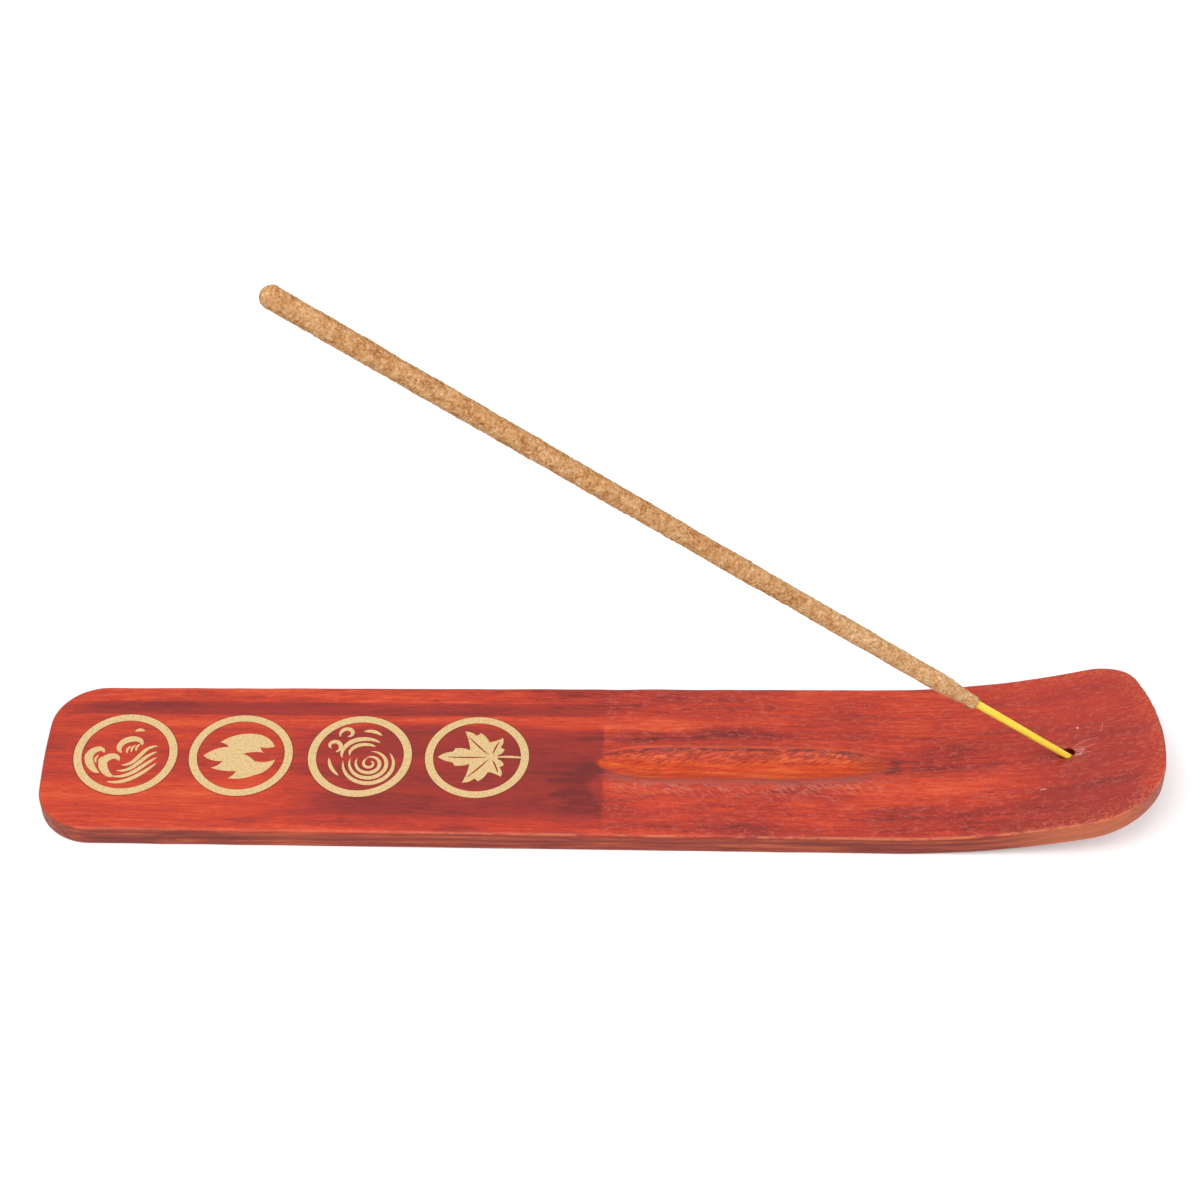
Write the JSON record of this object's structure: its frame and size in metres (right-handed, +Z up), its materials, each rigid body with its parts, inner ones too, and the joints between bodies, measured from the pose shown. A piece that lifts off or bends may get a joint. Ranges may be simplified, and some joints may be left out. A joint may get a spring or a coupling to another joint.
{
  "type": "incense stick holder",
  "caption": "Flat wooden incense holder with one end bent up, a slanted stick hole, a shallow ash trough, printed round emblems and a leaning incense stick.",
  "frame": {"origin": "on the surface the holder rests on, under the middle of the board", "axes": "+X along the board to its raised end, +Y across the board away from the side the emblems are read from, +Z up"},
  "size_m": [0.25, 0.044, 0.1482],
  "materials": {
    "stained_wood": "red stained, satin",
    "dyed_bamboo": "yellow dyed, satin",
    "incense": "granular, matt",
    "gold_ink": "printed gold ink, matt"
  },
  "bodies": {
    "holder": {"holder_board": "stained_wood", "emblem_wave": "gold_ink", "emblem_flame": "gold_ink", "emblem_wind": "gold_ink", "emblem_leaf": "gold_ink"},
    "incense_stick": {"bamboo_core": "dyed_bamboo", "incense_paste": "incense"}
  },
  "joints": [
    {"name": "stick_pull", "type": "slide", "parent": "holder", "child": "incense_stick", "axis": [-0.7722, 0, 0.6354], "range_m": [0, 0.03]}
  ]
}
